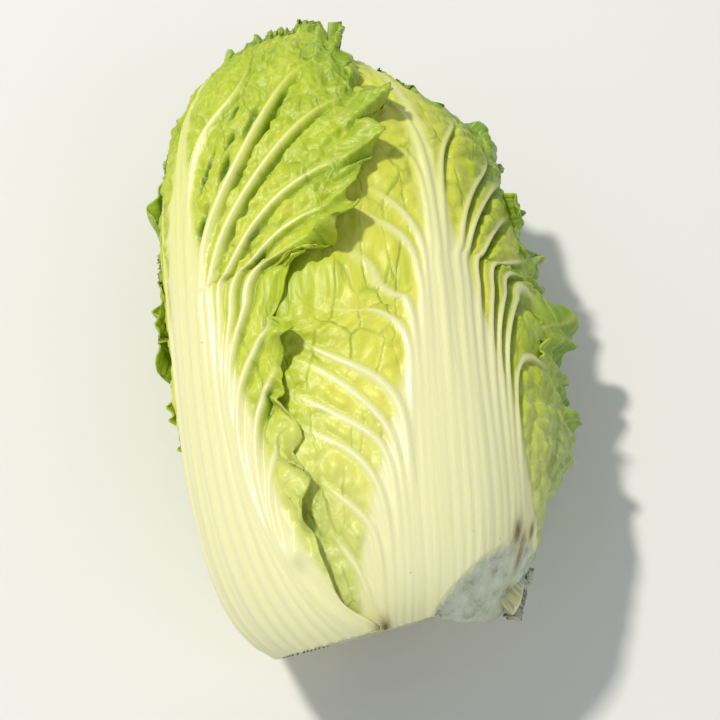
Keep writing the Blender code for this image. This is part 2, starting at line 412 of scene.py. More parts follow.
def crinkle_tree():
    """Geometry nodes that pucker a leaf's blade into blisters and wrinkles along its own flat coordinates."""
    tree = bpy.data.node_groups.new("Leaf crinkle", "GeometryNodeTree")
    sockets = [
        ("Leaf", "NodeSocketGeometry", None),
        ("Blister size", "NodeSocketFloat", 0.010),
        ("Blister height", "NodeSocketFloat", 0.0012),
        ("Wrinkle size", "NodeSocketFloat", 0.020),
        ("Wrinkle height", "NodeSocketFloat", 0.002),
        ("Seed", "NodeSocketFloat", 0.0),
        ("Finish", "NodeSocketMaterial", None),
    ]
    for label, kind, value in sockets:
        socket = tree.interface.new_socket(label, in_out="INPUT", socket_type=kind)
        if value is not None:
            socket.default_value = value
    tree.interface.new_socket("Leaf", in_out="OUTPUT", socket_type="NodeSocketGeometry")
    nodes, link = tree.nodes, tree.links.new
    given = nodes.new("NodeGroupInput")

    def node(kind, **settings):
        made = nodes.new(kind)
        for key, value in settings.items():
            setattr(made, key, value)
        return made

    def named(label, kind):
        made = node("GeometryNodeInputNamedAttribute", data_type=kind)
        made.inputs["Name"].default_value = label
        return made.outputs["Attribute"]

    def maths(operation, first, second):
        made = node("ShaderNodeMath", operation=operation)
        for slot, value in zip(made.inputs, (first, second)):
            if isinstance(value, float):
                slot.default_value = value
            else:
                link(value, slot)
        return made.outputs[0]

    flat = named("flat", "FLOAT_VECTOR")
    blade = named("blade", "FLOAT")

    def scaled(size):
        made = node("ShaderNodeVectorMath", operation="SCALE")
        link(flat, made.inputs[0])
        link(maths("DIVIDE", 1.0, size), made.inputs["Scale"])
        shift = node("ShaderNodeVectorMath", operation="ADD")
        link(made.outputs[0], shift.inputs[0])
        link(given.outputs["Seed"], shift.inputs[1])
        return shift.outputs[0]

    blisters = node("ShaderNodeTexVoronoi", feature="SMOOTH_F1")
    link(scaled(given.outputs["Blister size"]), blisters.inputs["Vector"])
    blisters.inputs["Scale"].default_value = 1.0
    blisters.inputs["Smoothness"].default_value = 0.35
    wrinkles = node("ShaderNodeTexNoise")
    link(scaled(given.outputs["Wrinkle size"]), wrinkles.inputs["Vector"])
    wrinkles.inputs["Scale"].default_value = 1.0
    wrinkles.inputs["Detail"].default_value = 3.0
    rise = maths("SUBTRACT", 0.45, blisters.outputs["Distance"])
    domes = maths("MULTIPLY", rise, given.outputs["Blister height"])
    wander = maths("SUBTRACT", wrinkles.outputs[0], 0.5)
    folds = maths("MULTIPLY", wander, given.outputs["Wrinkle height"])
    lift = maths("MULTIPLY", maths("ADD", domes, folds), blade)
    normal = nodes.new("GeometryNodeInputNormal")
    offset = node("ShaderNodeVectorMath", operation="SCALE")
    link(normal.outputs[0], offset.inputs[0])
    link(lift, offset.inputs["Scale"])
    moved = nodes.new("GeometryNodeSetPosition")
    link(given.outputs["Leaf"], moved.inputs["Geometry"])
    link(offset.outputs[0], moved.inputs["Offset"])
    real = nodes.new("GeometryNodeRealizeInstances")
    link(moved.outputs[0], real.inputs[0])
    coloured = nodes.new("GeometryNodeSetMaterial")
    link(real.outputs[0], coloured.inputs["Geometry"])
    link(given.outputs["Finish"], coloured.inputs["Material"])
    result = nodes.new("NodeGroupOutput")
    link(coloured.outputs[0], result.inputs[0])
    return tree


leaf_crinkle = crinkle_tree()
FLOOR_GAP = 0.0006
PRESSED_RELIEF = 0.1


def set_input(modifier, label, value):
    """Sets a geometry nodes input by the identifier of the socket that carries the label."""
    for item in modifier.node_group.interface.items_tree:
        if item.item_type == "SOCKET" and item.in_out == "INPUT" and item.name == label:
            modifier[item.identifier] = value


def finished(piece, node):
    """Applies the modifiers to a plain mesh, and puts the piece in the place of its node."""
    graph = bpy.context.evaluated_depsgraph_get()
    grown = piece.evaluated_get(graph)
    mesh = bpy.data.meshes.new_from_object(grown, preserve_all_data_layers=True, depsgraph=graph)
    piece.modifiers.clear()
    # Nothing goes through the floor: the underside is pressed flat on it.
    places = np.zeros(3 * len(mesh.vertices), dtype=np.float32)
    mesh.vertices.foreach_get("co", places)
    heights = places[2::3]
    pressed = FLOOR_GAP + PRESSED_RELIEF * (heights - FLOOR_GAP)
    places[2::3] = np.maximum(np.where(heights < FLOOR_GAP, pressed, heights), 0.0)
    mesh.vertices.foreach_set("co", places)
    piece.data = mesh
    mesh.shade_smooth()
    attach(piece, "root")
    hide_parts(node)
    return piece


# The blade tucks in beside a vein, over this half width, but not where another vein stands this high.
TUCK_HALF = 0.0013
TUCK_ENDS = 0.0012
LEAST_THICK = 0.0009
PIT_DEPTH = 0.0035
PIT_SLANT = 0.55
# What a leaf has unless it says otherwise: no lobe at its tip, folds, pits, bruises, slice or greener side.
PLAIN = {
    "tip_lobe": (0.0, 10.0, 0.0, 0.0), "folds": (), "pits": (), "bruises": (), "slice": NO_SLICE,
    "low_frill": 1.0, "deep_side": (400.0, 401.0, 0.0),
}


def vein_relief(flat, veins):
    """What veins do to a leaf: height, rib, tuck and swelling, and the distance to the nearest of them."""
    height, rib, tuck, swell = (np.zeros(len(flat)) for _ in range(4))
    nearest = np.full(len(flat), 1.0)
    for one in veins:
        distance, side, along = to_vein(flat, one["route"])
        leaves = one["leaves"]
        half = MM * np.interp(along, (0.0, leaves, 1.0), one["widths"])
        low_tall, leaf_tall, end_tall = one["heights"]
        places = (0.0, 0.25 * leaves, 0.6 * leaves, leaves, 1.0)
        tall = MM * np.interp(along, places, (0.4 * low_tall, low_tall, low_tall * 1.5, leaf_tall, end_tall))
        height = np.maximum(height, tall * np.exp(-((distance / half) ** 2)))
        fade = 1.0 - smooth((along - 0.84) / 0.16)
        rib = np.maximum(rib, fade * np.exp(-((distance / (half * 1.1)) ** 3)))
        swelling = np.exp(-((distance / (half + 0.005)) ** 2)) * (1.0 - smooth(along / 0.9))
        swell = np.maximum(swell, swelling)
        tuck_depth, tuck_away = one["tuck"]
        tuck_place = (distance * side - tuck_away * MM) / TUCK_HALF
        tucked = smooth((along - leaves) / 0.12) * (1.0 - smooth((along - 0.85) / 0.15))
        tuck = np.maximum(tuck, MM * tuck_depth * np.exp(-(tuck_place**2)) * tucked)
        nearest = np.minimum(nearest, distance - half)
    tuck = tuck * (1.0 - np.minimum(height / TUCK_ENDS, 1.0))
    return height - tuck, rib, tuck, swell, nearest


def slice_off(points, distance):
    """Drops points past the slice onto it, or pushes them back to it on the floor. Returns how far past."""
    beyond = points @ SLICE_NORMAL - distance
    past = np.maximum(beyond, 0.0)
    drop = np.minimum(past / SLICE_NORMAL[2], np.maximum(points[..., 2], 0.0))
    points[..., 2] = np.maximum(points[..., 2], 0.0) - drop
    level = SLICE_NORMAL * (1.0, 1.0, 0.0)
    points -= (past - drop * SLICE_NORMAL[2])[..., None] * level / (level @ level)
    return beyond


def unit(vectors):
    """Vectors brought to length one."""
    return vectors / (np.linalg.norm(vectors, axis=-1, keepdims=True) + 1e-12)


def grow_leaf(node, slot, finish, leaf, veins, columns=200, rows=250):
    """A leaf: a sheet on its shell of the head, raised along its veins, ruffled and then thickened."""
    leaf = {**PLAIN, **leaf}
    seed = leaf["seed"]
    shoulder = leaf["shoulder"]

    # The sheet, round at its tip, with lobes and teeth along its margin.
    u, v = np.meshgrid(np.linspace(-1.0, 1.0, columns), np.linspace(0.0, 1.0, rows))
    u = u * (1.12 - 0.12 * u * u)
    t = np.clip((v - shoulder) / (1.0 - shoulder), 0.0, 1.0)
    across = u * np.sqrt(1.0 - 0.5 * t * t)
    way = np.where(v > shoulder, shoulder + (1.0 - shoulder) * t * np.sqrt(1.0 - 0.5 * u * u), v)
    way = way * leaf["reach"] * LEAF_LENGTH
    middle, low, high = (margin_at(way, leaf[key]) for key in ("midrib", "low", "high"))
    edge = np.maximum(np.abs(u), t)
    round_leaf = np.arctan2(across, (way / LEAF_LENGTH - 0.40) * 1.5) * 0.16
    lobes = waves(round_leaf, (0.052, 0.031), seed) * leaf["lobes"] * smooth((edge - 0.7) / 0.3)
    small_scallops = 0.5 * np.abs(waves(round_leaf, (0.0093, 0.0131), seed + 6))
    scallops = np.abs(waves(round_leaf, (0.023, 0.0157), seed + 1)) + small_scallops
    teeth = (scallops - 0.6) * leaf["teeth"] * smooth((edge - 0.9) / 0.1)
    leafy = smooth((way - leaf["petiole_edge"] * LEAF_LENGTH) / 0.04)
    side_spread = np.where(across < 0.0, middle - low, high - middle)
    ragged_margin = np.sign(across) * (lobes + teeth) * leafy / DEGREE * np.abs(u) ** 2
    bearing = middle + across * side_spread + ragged_margin
    way = way + (lobes + teeth) * smooth(t * 1.5) * 0.35
    depth = np.interp(bearing, *np.array(leaf["depths"], float).T) * MM
    lobe_bearing, lobe_half, lobe_length, lobe_lift = leaf["tip_lobe"]
    room = smooth((1.02 * LEAF_LENGTH - way) / (0.20 * LEAF_LENGTH))
    tip_lobe = np.exp(-(((bearing - lobe_bearing) / lobe_half) ** 4)) * smooth((t - 0.25) / 0.75)
    way = way + MM * lobe_length * tip_lobe
    base = on_head(bearing, way, depth)
    flat = np.stack([bearing * DEGREE, way], axis=-1).reshape(-1, 2)

    # The white petiole and the veins.
    shape = across.shape
    height, rib, tuck, swell, nearest = (a.reshape(shape) for a in vein_relief(flat, veins))
    white_low, white_high = (read_along(way, leaf["white"], column) for column in (1, 2))
    petiole = smooth((bearing - white_low) / 5.0 + 0.5) * smooth((white_high - bearing) / 5.0 + 0.5)
    rib = np.maximum(rib, petiole)
    blade = (1.0 - rib) * smooth(nearest / 0.004)
    pillow = leaf["pillow"] * MM * smooth(nearest / 0.008)

    # The free margin stands off the head, with folds and pits set one by one.
    flares = np.where(across < 0.0, read_along(way, leaf["flare_low"]), read_along(way, leaf["flare_high"]))
    flare = flares * MM * np.abs(u) ** 4
    flare = np.maximum(flare, leaf["tip_lift"] * MM * t**3) + MM * lobe_lift * tip_lobe
    for place_bearing, place_mm, long, wide, tall in leaf["folds"]:
        gap_across = (bearing - place_bearing) * DEGREE / (wide * MM)
        gap_along = (way - way_up(place_mm * MM)) / (long * MM)
        flare = flare + MM * tall * np.exp(-(gap_across**2) - gap_along**2)
    pitted = np.zeros(shape)
    for place_bearing, place_mm, long, wide in leaf["pits"]:
        up = way - way_up(place_mm * MM)
        turned = (bearing - place_bearing) * DEGREE - PIT_SLANT * up
        gap = (turned / (wide * MM)) ** 2 + (up / (long * MM)) ** 2
        pitted = np.maximum(pitted, np.exp(-gap) * (1.0 - rib))
    flare = flare - PIT_DEPTH * pitted

    # Frills, ripples and curls grow towards the margin.
    frilly = smooth((edge - leaf["frill_from"]) / (1.0 - leaf["frill_from"])) * leafy
    frilly = frilly * np.where(across < 0.0, leaf["low_frill"], 1.0)
    frill = MM * leaf["frill"] * waves(round_leaf, (0.026, 0.017, 0.041), seed + 2)
    ripple = 0.0004 * leaf["frill"] * waves(round_leaf, (0.0085, 0.0059), seed + 3)
    curl = 0.0006 * leaf["frill"] * waves(round_leaf, (0.021, 0.013), seed + 4)
    ruffle = (frill * frilly**2 + ripple * frilly**3) * (0.15 + 0.85 * room)
    lift = height + MM * leaf["swell"] * swell + pillow + flare + ruffle
    normal = unit(np.cross(np.gradient(base, axis=1), np.gradient(base, axis=0)))
    points = base + normal * lift[..., None]
    points += unit(np.gradient(base, axis=1)) * (np.sign(across) * curl * room * frilly**2)[..., None]
    beyond = slice_off(points, leaf["slice"])
    ragged = 0.0003 * waves(bearing * DEGREE, (0.0113, 0.0047), 9)
    cut_face = smooth((beyond + ragged) / 0.0008)

    # Greener towards the tip and the margin, and thicker towards the base.
    young = np.interp(way / LEAF_LENGTH, (0.0, 0.35, 0.75, 1.0), leaf["green"])
    deep_from, deep_to, deeper = leaf["deep_side"]
    deeper = deeper * smooth((bearing - deep_from) / (deep_to - deep_from))
    green = young + leaf["margin_green"] * smooth((edge - 0.45) / 0.55) + deeper
    fleshy = np.clip(swell * 0.75 + rib * 0.25, 0.0, 1.0)
    thick = leaf["thick"] * MM * fleshy * (1.0 - 0.85 * smooth(way / (0.72 * LEAF_LENGTH)))
    # The bases are fleshy: cut across, they fill the space between the shells round the stem.
    thick = thick + MM * leaf["base_thick"] * (1.0 - smooth(way / 0.030))
    thick = LEAST_THICK + thick * (1.0 - smooth((np.abs(u) - 0.78) / 0.22) * 0.85)
    bruise = np.zeros(shape)
    for place_bearing, place_mm, size in leaf["bruises"]:
        away = np.hypot((bearing - place_bearing) * DEGREE, (way - way_up(place_mm * MM)) * 0.6)
        bruise = np.maximum(bruise, np.exp(-((away / (size * MM)) ** 2)))
    attributes = {
        "rib": rib, "green": green, "age": smooth(way / LEAF_LENGTH),
        "blade": blade * (leaf["crinkle"] + deeper), "bruise": bruise, "cut": cut_face,
        # Painted shade: how deep a green the material paints the tucks beside the veins and the pits.
        "crease": np.clip(np.maximum(tuck / PIT_DEPTH, 2.4 * pitted), 0.0, 1.4),
    }
    attributes = {key: values.reshape(-1) for key, values in attributes.items()}
    piece = sheet_object(node + "_looks", points.reshape(-1, 3), grid_faces(columns, rows), attributes, flat)

    # The crinkles, then the thickness.
    group = piece.vertex_groups.new(name="thick")
    thickest = float(thick.max())
    for index, value in enumerate((thick / thickest).reshape(-1)):
        group.add([index], float(value), "REPLACE")
    crinkle = piece.modifiers.new("crinkle", "NODES")
    crinkle.node_group = leaf_crinkle
    for key in ("blister", "wrinkle"):
        set_input(crinkle, key.capitalize() + " size", leaf[key] * MM)
        set_input(crinkle, key.capitalize() + " height", leaf[key + "_height"] * MM)
    set_input(crinkle, "Seed", float(seed))
    set_input(crinkle, "Finish", finish)
    shell = piece.modifiers.new("thickness", "SOLIDIFY")
    shell.thickness = thickest
    shell.offset = -1.0
    shell.vertex_group = "thick"
    return finished(piece, node)


def vein(route, leaves=0.5, widths=(3.0, 1.8, 0.9), heights=(0.30, 1.4, 0.4), tuck=(0.6, 2.6)):
    """A vein: its route, where it leaves the petiole, half widths and heights there, and a fold beside it."""
    return {"route": route, "leaves": leaves, "widths": widths, "heights": heights, "tuck": tuck}


right_veins = [
    vein([(28, -147), (23, -103), (28, -42), (31, 19), (32, 77), (27, 105), (18, 116)],
         0.55, (3.0, 2.8, 1.0), (0.3, 1.8, 0.8)),
    vein([(24, -146), (20, -103), (25, -37), (30, 37), (27, 60), (18, 73)], 0.78),
    vein([(22, -146), (18, -103), (24, -12), (26, 13), (18, 38), (4, 56)], 0.70),
    vein([(18, -146), (16, -102), (20, -42), (24, 6), (16, 26), (0, 44)], 0.70),
    vein([(16, -146), (13, -102), (18, -42), (18, -7), (9, 13), (-6, 30)], 0.68),
    vein([(12, -146), (10, -101), (15, -50), (16, -27), (6, -6), (-12, 14)], 0.66),
    vein([(10, -147), (9, -101), (12, -63), (4, -46), (-8, -32), (-22, -14)],
         0.58, (3.0, 2.5, 0.9), (0.3, 2.2, 0.5)),
    vein([(6, -147), (8, -93), (6, -68), (-2, -53), (-11, -38), (-22, -26)], 0.55),
    vein([(2, -147), (6, -89), (2, -72), (-6, -62), (-15, -52), (-26, -42)], 0.52),
    vein([(-2, -147), (2, -102), (-3, -81), (-10, -70), (-24, -58)], 0.50),
    vein([(-6, -147), (-3, -120), (-4, -105), (-10, -94), (-18, -83)], 0.48),
    vein([(-8, -147), (-10, -130), (-12, -118), (-18, -103)], 0.45),
    vein([(32, -146), (27, -104), (30, -46), (34, 26), (38, 64), (52, 94), (60, 114)], 0.66, tuck=(2.6, 3.2)),
    vein([(36, -144), (30, -105), (34, -30), (40, 20), (52, 48), (68, 66), (74, 92)], 0.60, tuck=(3.6, 3.2)),
    vein([(40, -144), (34, -105), (36, -33), (42, 13), (56, 39), (70, 56), (82, 66)], 0.58, tuck=(4.2, 3.2)),
    vein([(44, -142), (38, -80), (40, -31), (48, 4), (63, 30), (80, 44)], 0.55, tuck=(4.6, 3.4)),
    vein([(49, -142), (41, -98), (44, -31), (56, -3), (70, 9), (86, 20)], 0.52, tuck=(4.6, 3.4)),
    vein([(52, -140), (46, -100), (46, -52), (51, -27), (62, -8), (82, 0)], 0.52, tuck=(4.6, 3.2)),
    vein([(56, -138), (48, -100), (49, -54), (56, -28), (70, -9), (88, -18)], 0.50, tuck=(4.2, 3.2)),
    vein([(59, -134), (51, -98), (52, -66), (56, -49), (66, -38), (84, -42)], 0.48, tuck=(2.0, 3.0)),
]
right_leaf = grow_leaf(
    "right_leaf",
    "outer_leaf",
    outer_finish,
    {
        "seed": 21, "reach": 0.985, "shoulder": 0.86, "petiole_edge": 0.18,
        "midrib": [(-147, 30), (-60, 26), (20, 32), (140, 26)],
        "low": [(-147, -14), (-120, -26), (-70, -38), (-20, -34), (40, -18), (140, -14)],
        "high": [(-147, 84), (-120, 84), (-100, 84), (-82, 88), (-60, 95), (-40, 98), (30, 98),
                 (70, 92), (140, 80)],
        "white": [(-147, -16, 88), (-130, -14, 76), (-115, -10, 62), (-90, -2, 54),
                  (-60, 9, 50), (-20, 19, 42), (20, 27, 36), (150, 31, 33)],
        "depths": [(-60, 6.5), (-8, 6.0), (12, 5.0), (34, 1.5), (100, 1.5)],
        "lobes": 0.006, "teeth": 0.0022, "frill_from": 0.62, "frill": 6.0, "low_frill": 0.15,
        "flare_low": [(-147, 0), (140, 0)],
        "flare_high": [(-147, 0), (-108, 0), (-85, 12), (-55, 17), (-10, 17), (30, 11), (60, 5), (140, 5)],
        "deep_side": (38, 58, 0.40),
        "tip_lift": 0.0, "swell": 1.4, "pillow": 1.2, "thick": 4.2, "base_thick": 9.0,
        "green": (0.12, 0.10, 0.22, 0.42), "margin_green": 0.42, "crinkle": 0.8,
        "blister": 8.0, "blister_height": 2.6, "wrinkle": 15.0, "wrinkle_height": 5.5,
        "bruises": [(51, -122, 4), (56, -129, 5), (62, -122, 3), (-6, -146, 4)],
        "slice": 0.1585,
    },
    right_veins,
)


# ---- Left leaf ----------------------------------------------------------------------------------------
# The uppermost outer leaf. Its ribbed petiole wraps the head's left side; its blade crosses to the crown.
# The inner margin is free: it stands a little off the right leaf, rolled and finely frilled.

left_veins = [
    vein([(-66, -143), (-71, -110), (-65, -36), (-62, 14), (-58, 80), (-64, 116), (-52, 131)],
         0.70, heights=(0.65, 1.8, 0.7)),
    vein([(-56, -144), (-61, -80), (-56, 10), (-52, 80), (-40, 95), (-26, 109), (-27, 130)],
         0.80, (3.0, 2.8, 1.0), (0.65, 2.8, 1.0), (1.8, 4.2)),
    vein([(-48, -146), (-56, -82), (-51, 6), (-46, 33), (-33, 56), (-20, 86), (-10, 111), (2, 119)],
         0.60, (3.0, 2.8, 0.8), (0.65, 2.8, 0.8), (4.5, 4.4)),
    vein([(-41, -147), (-51, -83), (-48, -5), (-42, 23), (-28, 45), (-15, 69), (1, 88), (12, 94)],
         0.56, (3.0, 2.4, 0.6), (0.65, 2.4, 0.6), (4.5, 4.0)),
    vein([(-34, -147), (-46, -85), (-46, -17), (-34, 13), (-22, 34), (-8, 47), (10, 54)],
         0.54, (3.0, 2.0, 0.6), (0.65, 2.0, 0.5), (3.0, 3.6)),
    vein([(-28, -147), (-44, -90), (-45, -32), (-34, -8), (-22, 17), (-8, 25), (4, 27)],
         0.54, (3.0, 1.7, 0.5), (0.65, 1.8, 0.4), (2.4, 3.4)),
    vein([(-22, -147), (-42, -94), (-44, -37), (-32, -17), (-20, 2), (-6, 8)],
         0.58, heights=(0.6, 1.5, 0.4), tuck=(2.2, 3.0)),
    vein([(-18, -147), (-40, -100), (-42, -55), (-33, -37), (-18, -16)],
         0.56, heights=(0.6, 1.5, 0.4), tuck=(2.0, 3.0)),
    vein([(-16, -147), (-36, -111), (-37, -67), (-28, -50), (-20, -40)],
         0.56, heights=(0.6, 1.5, 0.4), tuck=(1.8, 3.0)),
    vein([(-14, -147), (-32, -120), (-35, -86), (-23, -66)], 0.60),
    vein([(-76, -140), (-80, -100), (-78, -30), (-76, 30), (-82, 80), (-80, 110)],
         0.60, heights=(0.65, 1.5, 0.4)),
    vein([(-84, -140), (-90, -90), (-92, -20), (-98, 30), (-104, 60)], 0.55, heights=(0.65, 1.5, 0.4)),
    vein([(-88, -140), (-98, -90), (-104, -30), (-112, 0)], 0.50, heights=(0.65, 1.5, 0.4)),
]
left_leaf = grow_leaf(
    "left_leaf",
    "outer_leaf",
    outer_finish,
    {
        "seed": 5, "reach": 0.955, "shoulder": 0.88, "petiole_edge": 0.10, "tip_lobe": (4, 13, 10, 5),
        "folds": [(-24, -36, 8, 6, 5.5), (-24, -70, 7, 5, 6.0), (-24, -53, 5, 5, -2.5),
                  (-23, -86, 5, 4, -2.5), (-12, -4, 9, 8, 5.5), (-22, -17, 6, 5, -3.0),
                  (-24, -98, 6, 4, 6.0), (-30, -112, 5, 4, 3.0), (-2, 12, 8, 6, 2.5),
                  (8, 40, 9, 5, 2.0), (14, 66, 7, 5, 2.5), (18, 92, 7, 6, 4.0)],
        "midrib": [(-147, -44), (-60, -58), (40, -52), (140, -30)],
        "low": [(-147, -92), (-80, -106), (0, -118), (140, -116)],
        "high": [(-147, -7), (-134, -20), (-60, -25), (-20, -20), (20, 3), (60, 13), (98, 20),
                 (115, 16), (140, 15)],
        "white": [(-147, -95, -5), (-130, -95, -19), (-100, -98, -30), (-60, -90, -36), (-20, -80, -44),
                  (30, -72, -50), (90, -62, -54), (140, -60, -58)],
        "depths": [(-122, 11.0), (-106, 8.5), (-86, 2.5), (-56, 1.5), (-30, 1.0), (20, 1.0)],
        "lobes": 0.0035, "teeth": 0.0022, "frill_from": 0.66, "frill": 4.8,
        "flare_low": [(-147, 0), (-90, 0), (0, 0), (140, 0)],
        "flare_high": [(-147, 0), (-90, -2), (-60, -1), (-20, 1), (10, 4), (50, 5), (90, 4), (140, 4)],
        "pits": [(-30, 96, 5, 1.3), (-25, 84, 6, 1.5), (-36, 62, 7, 1.3), (-19, 80, 4, 1.6),
                 (-33, 76, 6, 1.2), (-47, 38, 7, 1.4), (-43, 66, 8, 1.3), (-50, 74, 7, 1.2),
                 (-13, 92, 3, 1.0), (-27, 22, 5, 1.2), (-40, -8, 4, 1.0), (-26, 4, 5, 1.2),
                 (-28, -30, 5, 1.3), (-30, -58, 5, 1.2), (-28, -74, 4, 1.0)],
        "tip_lift": 5.0, "swell": 1.2, "pillow": 1.0, "thick": 4.0, "base_thick": 8.0,
        "green": (0.10, 0.20, 0.52, 0.70), "margin_green": 0.26, "crinkle": 1.0,
        "blister": 5.6, "blister_height": 3.0, "wrinkle": 11.0, "wrinkle_height": 7.5,
        "bruises": [(-7, -146, 5)],
    },
    left_veins,
)


# ---- Lower and back leaves ------------------------------------------------------------------------------
# Three older leaves that wrap the sides and the underside. The head rests on the back leaf. Their green
# margins come out from under the two top leaves.


def fanned_veins(midrib, low, high, count, height=1.4):
    """Veins by rule: a midrib, and laterals that run up the petiole beside it and then fan out."""
    def between(side, mm, share):
        centre = float(margin_at(way_up(mm * MM), midrib))
        rim = float(margin_at(way_up(mm * MM), low if side < 0 else high))
        return centre + (rim - centre) * share

    spine = [(between(1, mm, 0.0), mm) for mm in (-147, -80, -20, 40, 90, 120)]
    routes = [vein(spine, 0.6, (2.6, 2.6, 0.8), (0.3, height + 0.4, 0.5))]
    for side in (-1, 1):
        for k in range(1, count + 1):
            leaves = 88.0 - k * 190.0 / count
            beside = side * (2.0 + 2.6 * k)
            start = [(between(1, mm, 0.0) + beside * grow, mm)
                     for mm, grow in ((-147, 1.15), (0.5 * (leaves - 147), 1.05), (leaves, 1.0))]
            fan = [(between(side, leaves + up, share), leaves + up)
                   for up, share in ((16, 0.42), (30, 0.68), (40, 0.96))]
            routes.append(vein(start + fan, 0.62, (2.2, 1.5, 0.4), (0.3, height, 0.3), (1.8, 3.0)))
    return routes


def ruled_leaf(node, slot, finish, midrib, low, high, depths, seed, **changes):
    """A leaf whose margins and veins follow rules, with the changes from the plain pattern that it needs."""
    middle = midrib[0][1]
    leaf = {
        "seed": seed, "reach": 1.01, "shoulder": 0.86, "petiole_edge": 0.22, "slice": 0.1565,
        "midrib": midrib, "low": low, "high": high, "depths": depths,
        "white": [(-147, low[0][1], high[0][1])]
                 + [(mm, middle - half, middle + half)
                    for mm, half in ((-100, 34), (-50, 22), (10, 10), (80, 4), (150, 2))],
        "lobes": 0.005, "teeth": 0.0022, "frill_from": 0.66, "frill": 4.5,
        "flare_low": [(-147, 0), (140, 0)], "flare_high": [(-147, 0), (140, 0)], "tip_lift": 1.0,
        "swell": 1.2, "pillow": 1.0, "thick": 4.0, "base_thick": 8.0,
        "green": (0.30, 0.36, 0.55, 0.72), "margin_green": 0.35, "crinkle": 1.0,
        "blister": 6.0, "blister_height": 1.5, "wrinkle": 15.0, "wrinkle_height": 2.4,
    }
    size = {key: changes.pop(key) for key in ("columns", "rows") if key in changes}
    count = changes.pop("laterals", 7)
    leaf.update(changes)
    return grow_leaf(node, slot, finish, leaf, fanned_veins(midrib, low, high, count), **size)


lower_left_leaf = ruled_leaf(
    "lower_left_leaf", "outer_leaf", outer_finish,
    midrib=[(-147, -120), (140, -128)],
    low=[(-147, -164), (-60, -178), (140, -190)],
    high=[(-147, -92), (-60, -94), (20, -95), (140, -94)],
    depths=[(-140, 5.0), (-110, 4.0)],
    seed=31, reach=0.97, frill=3.2,
    flare_high=[(-147, 0), (-60, 1), (0, 5), (40, 7), (90, 5), (140, 3)],
)
lower_right_leaf = ruled_leaf(
    "lower_right_leaf", "outer_leaf", outer_finish,
    midrib=[(-147, 130), (140, 144)],
    low=[(-147, 82), (-60, 78), (40, 80), (140, 86)],
    high=[(-147, 174), (-60, 196), (140, 214)],
    depths=[(116, 5.0), (134, 10.0)],
    seed=32, reach=0.96, slice=0.155,
    flare_low=[(-147, 0), (-100, 3), (-60, 5), (40, 6), (140, 3)],
)
back_leaf = ruled_leaf(
    "back_leaf", "outer_leaf", outer_finish,
    midrib=[(-147, 176), (140, 182)],
    low=[(-147, 126), (-60, 116), (140, 112)],
    high=[(-147, 226), (-60, 242), (140, 250)],
    depths=[(90, 0.2), (270, 0.2)],
    seed=33, reach=1.03,
    flare_low=[(-147, 0), (-40, 2), (40, 4), (140, 3)],
    flare_high=[(-147, 0), (-40, 2), (40, 4), (140, 3)],
)


# ---- Inner leaves -------------------------------------------------------------------------------------
# Six paler leaves, one inside the other, that close the head. Each starts 137.5 degrees further round.

inner_finish = leaf_finish(
    "inner leaf",
    young=(0.80, 0.80, 0.20),
    mature=(0.70, 0.74, 0.12),
    margin=(0.42, 0.56, 0.06),
    rib_low=(0.90, 0.89, 0.68),
    rib_high=(0.88, 0.88, 0.50),
    gloss=0.34,
    web_strength=0.8,
)
inner_leaves = []
for number in range(1, 7):
    bearing_of_leaf = (-172.0 + 137.5 * number + 180.0) % 360.0 - 180.0
    shell_depth = 15.5 + 4.1 * number
    inner_leaves.append(ruled_leaf(
        f"inner_leaf_{number}", "inner_leaf", inner_finish,
        midrib=[(-147, bearing_of_leaf), (140, bearing_of_leaf + 4)],
        low=[(-147, bearing_of_leaf - 60), (0, bearing_of_leaf - 92), (140, bearing_of_leaf - 92)],
        high=[(-147, bearing_of_leaf + 60), (0, bearing_of_leaf + 92), (140, bearing_of_leaf + 92)],
        depths=[(-400, shell_depth), (400, shell_depth)],
        seed=40 + number, reach=1.04, frill=3.0, thick=2.2, base_thick=1.5, laterals=5, columns=110, rows=130,
        green=(0.05, 0.08, 0.25, 0.60), margin_green=0.30,
    ))


# ---- Heart --------------------------------------------------------------------------------------------
# The tight pale bud of young leaves at the middle of the head. Its leaf edges spiral round it to the crown.

heart_finish = leaf_finish(
    "heart",
    young=(0.84, 0.83, 0.30),
    mature=(0.80, 0.80, 0.20),
    margin=(0.62, 0.68, 0.10),
    rib_low=(0.91, 0.90, 0.72),
    rib_high=(0.88, 0.88, 0.55),
    gloss=0.36,
    web_strength=0.5,
)
HEART_COLUMNS = 160
HEART_ROWS = 170


def ringed_object(name, points, columns, rows, material):
    """A closed object from rings of points in rows, with a flat cap on the first ring and on the last."""
    faces = []
    for row in range(rows - 1):
        ring, above = row * columns, (row + 1) * columns
        for column in range(columns):
            across = (column + 1) % columns
            faces.append((ring + column, ring + across, above + across, above + column))
    caps = [list(range(columns - 1, -1, -1)), list(range((rows - 1) * columns, rows * columns))]
    mesh = bpy.data.meshes.new(name)
    mesh.from_pydata(points.reshape(-1, 3).tolist(), [], faces + caps)
    mesh.materials.append(material)
    mesh.shade_smooth()
    piece = bpy.data.objects.new(name, mesh)
    bpy.context.scene.collection.objects.link(piece)
    return piece


